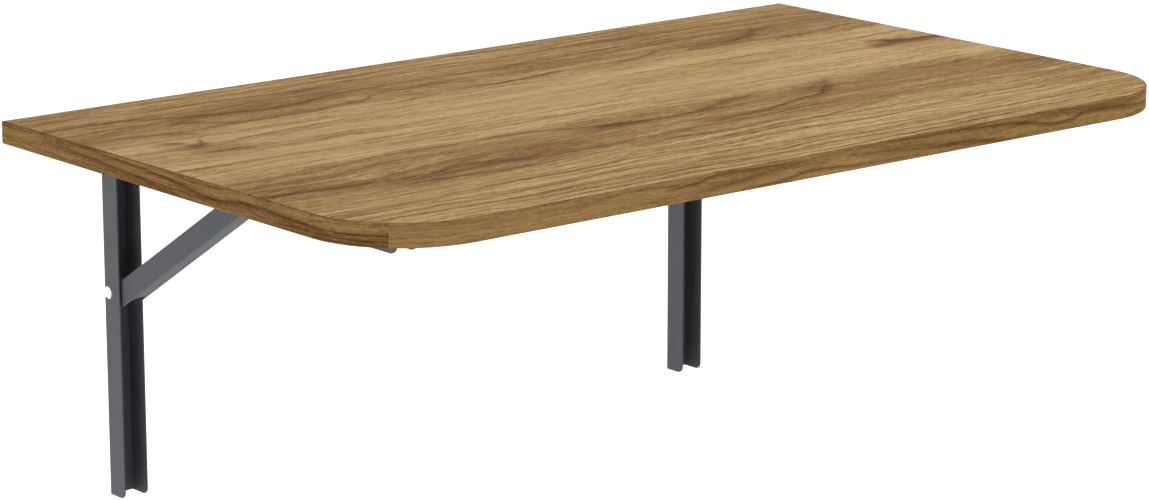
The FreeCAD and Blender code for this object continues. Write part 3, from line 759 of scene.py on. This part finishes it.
def leaf_screws():
    low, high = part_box("leaf_screws_left")
    right_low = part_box("leaf_screws_right")[0]
    radius = SCREW_HEAD_MM / MM
    seat = low[2] + HEAD_HEIGHT_MM / MM
    pitch = (high[1] - low[1] - 2.0 * radius) / (SCREW_COUNT - 1)
    piece = bpy.data.objects.new("leaf_screws", one_screw())
    bpy.context.scene.collection.objects.link(piece)
    tree, sockets = screw_rows()
    rows = piece.modifiers.new("rows", "NODES")
    rows.node_group = tree
    sizes = {"Count": SCREW_COUNT, "First": (low[0] + radius, high[1] - radius, seat),
             "Pitch": (0.0, -pitch, 0.0), "Rows": 2,
             "Row Spacing": (right_low[0] - low[0], 0.0, 0.0), "Plating": zinc_material}
    for name, size in sizes.items():
        rows[sockets[name]] = size
    evaluated = piece.evaluated_get(bpy.context.evaluated_depsgraph_get())
    piece.data = bpy.data.meshes.new_from_object(evaluated)
    piece.modifiers.clear()
    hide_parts("leaf_screws_left", "leaf_screws_right")
    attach(piece, "leaf")


leaf_screws()


# ---- Floor, light and camera ----
# The floor lies 0.75 m under the leaf's top. A broad soft lamp stands high in front and
# a wide low strip of light far off on the left, under an even pale sky.
FLOOR_DROP = 0.75
FLOOR_HALF = 8.0
FLOOR_WHITE = (0.80, 0.80, 0.80, 1)
FLOOR_ROUGHNESS = 0.9
FLOOR_GLOW = 0.28             # its own light under the table
FLOOR_GLOW_AROUND = 0.54      # and what comes on top of that away from the table
FLOOR_MIDDLE_MM = 300.0       # the table stands over this place in front of the wall
FLOOR_SHADE_MM = 200.0        # round it the floor keeps its shadow
FLOOR_FADE_MM = 900.0         # and that shadow fades over this length
SKY_LIGHT = 0.36              # what the even sky gives the table
SKY_BEHIND = 0.64             # and what comes on top of that where it is seen itself
KEY_PLACE = (0.6, -1.6, 3.2)
KEY_TARGET = (0, -0.3, 0.1)
KEY_SIDE = 2.1
KEY_WATTS = 100.0
STRIP_PLACE = (-9.0, 0.0, 0.15)
STRIP_TARGET = (0, -0.2, 0.0)
STRIP_WIDTH = 8.0
STRIP_HEIGHT = 1.2
STRIP_WATTS = 262.0
CAMERA_PLACE = (-2.3712, -3.1282, 0.9808)
CAMERA_PITCH = 13.721
CAMERA_YAW = 39.621
PICTURE_WIDTH = 1149.0
FOCAL_PIXELS = 3888.0
SENSOR_WIDTH = 36.0


def seen(start):
    """1 for the rays that show the background: straight, in gloss or through glass."""
    straight = start.node("ShaderNodeLightPath", {}, {}, "Is Camera Ray")
    gloss = start.node("ShaderNodeLightPath", {}, {}, "Is Glossy Ray")
    through = start.node("ShaderNodeLightPath", {}, {}, "Is Transmission Ray")
    return (straight + gloss + through).clamp()


def pale_floor():
    height = leaf_high[2] - FLOOR_DROP
    mesh = bpy.data.meshes.new("floor")
    corners = [(x * FLOOR_HALF, y * FLOOR_HALF, height)
               for x, y in ((-1, -1), (1, -1), (1, 1), (-1, 1))]
    mesh.from_pydata(corners, [], [(0, 1, 2, 3)])
    floor = bpy.data.objects.new("floor", mesh)
    bpy.context.scene.collection.objects.link(floor)
    pale = Finish("pale_floor")
    away = (pale.x ** 2.0 + (pale.y + FLOOR_MIDDLE_MM) ** 2.0) ** 0.5 - FLOOR_SHADE_MM
    fade = pale.start.node("ShaderNodeMapRange", {"interpolation_type": "SMOOTHSTEP"}, {
        "Value": away, "From Max": FLOOR_FADE_MM})
    glow = seen(pale.start) * (FLOOR_GLOW + fade * FLOOR_GLOW_AROUND)
    pale.shine(Base_Color=FLOOR_WHITE, Roughness=FLOOR_ROUGHNESS, Specular_IOR_Level=0.0,
               Emission_Color=glow, Emission_Strength=1.0)
    mesh.materials.append(pale.material)


def soft_lamp(name, place, target, width, height, power):
    lamp = bpy.data.lights.new(name, "AREA")
    lamp.shape = "RECTANGLE"
    lamp.size = width
    lamp.size_y = height
    lamp.energy = power
    holder = bpy.data.objects.new(name, lamp)
    holder.location = place
    holder.rotation_euler = (Vector(target) - Vector(place)).to_track_quat("-Z", "Y").to_euler()
    bpy.context.scene.collection.objects.link(holder)


def even_sky():
    world = bpy.data.worlds.new("even_sky")
    bpy.context.scene.world = world
    world.use_nodes = True
    tree = world.node_tree
    tree.nodes.clear()
    start = Value(tree, None)
    sky = start.node("ShaderNodeBackground", {}, {
        "Color": (1, 1, 1, 1), "Strength": seen(start) * SKY_BEHIND + SKY_LIGHT})
    output = tree.nodes.new("ShaderNodeOutputWorld")
    tree.links.new(sky.socket, output.inputs["Surface"])


def camera_at_the_corner():
    lens = bpy.data.cameras.new("camera")
    lens.sensor_width = SENSOR_WIDTH
    lens.lens = FOCAL_PIXELS / PICTURE_WIDTH * SENSOR_WIDTH
    camera = bpy.data.objects.new("camera", lens)
    camera.location = CAMERA_PLACE
    camera.rotation_euler = (math.radians(90 - CAMERA_PITCH), 0, math.radians(-CAMERA_YAW))
    bpy.context.scene.collection.objects.link(camera)
    bpy.context.scene.camera = camera


pale_floor()
even_sky()
soft_lamp("key", KEY_PLACE, KEY_TARGET, KEY_SIDE, KEY_SIDE, KEY_WATTS)
soft_lamp("left", STRIP_PLACE, STRIP_TARGET, STRIP_WIDTH, STRIP_HEIGHT, STRIP_WATTS)
camera_at_the_corner()
bpy.context.scene.view_settings.view_transform = "Standard"
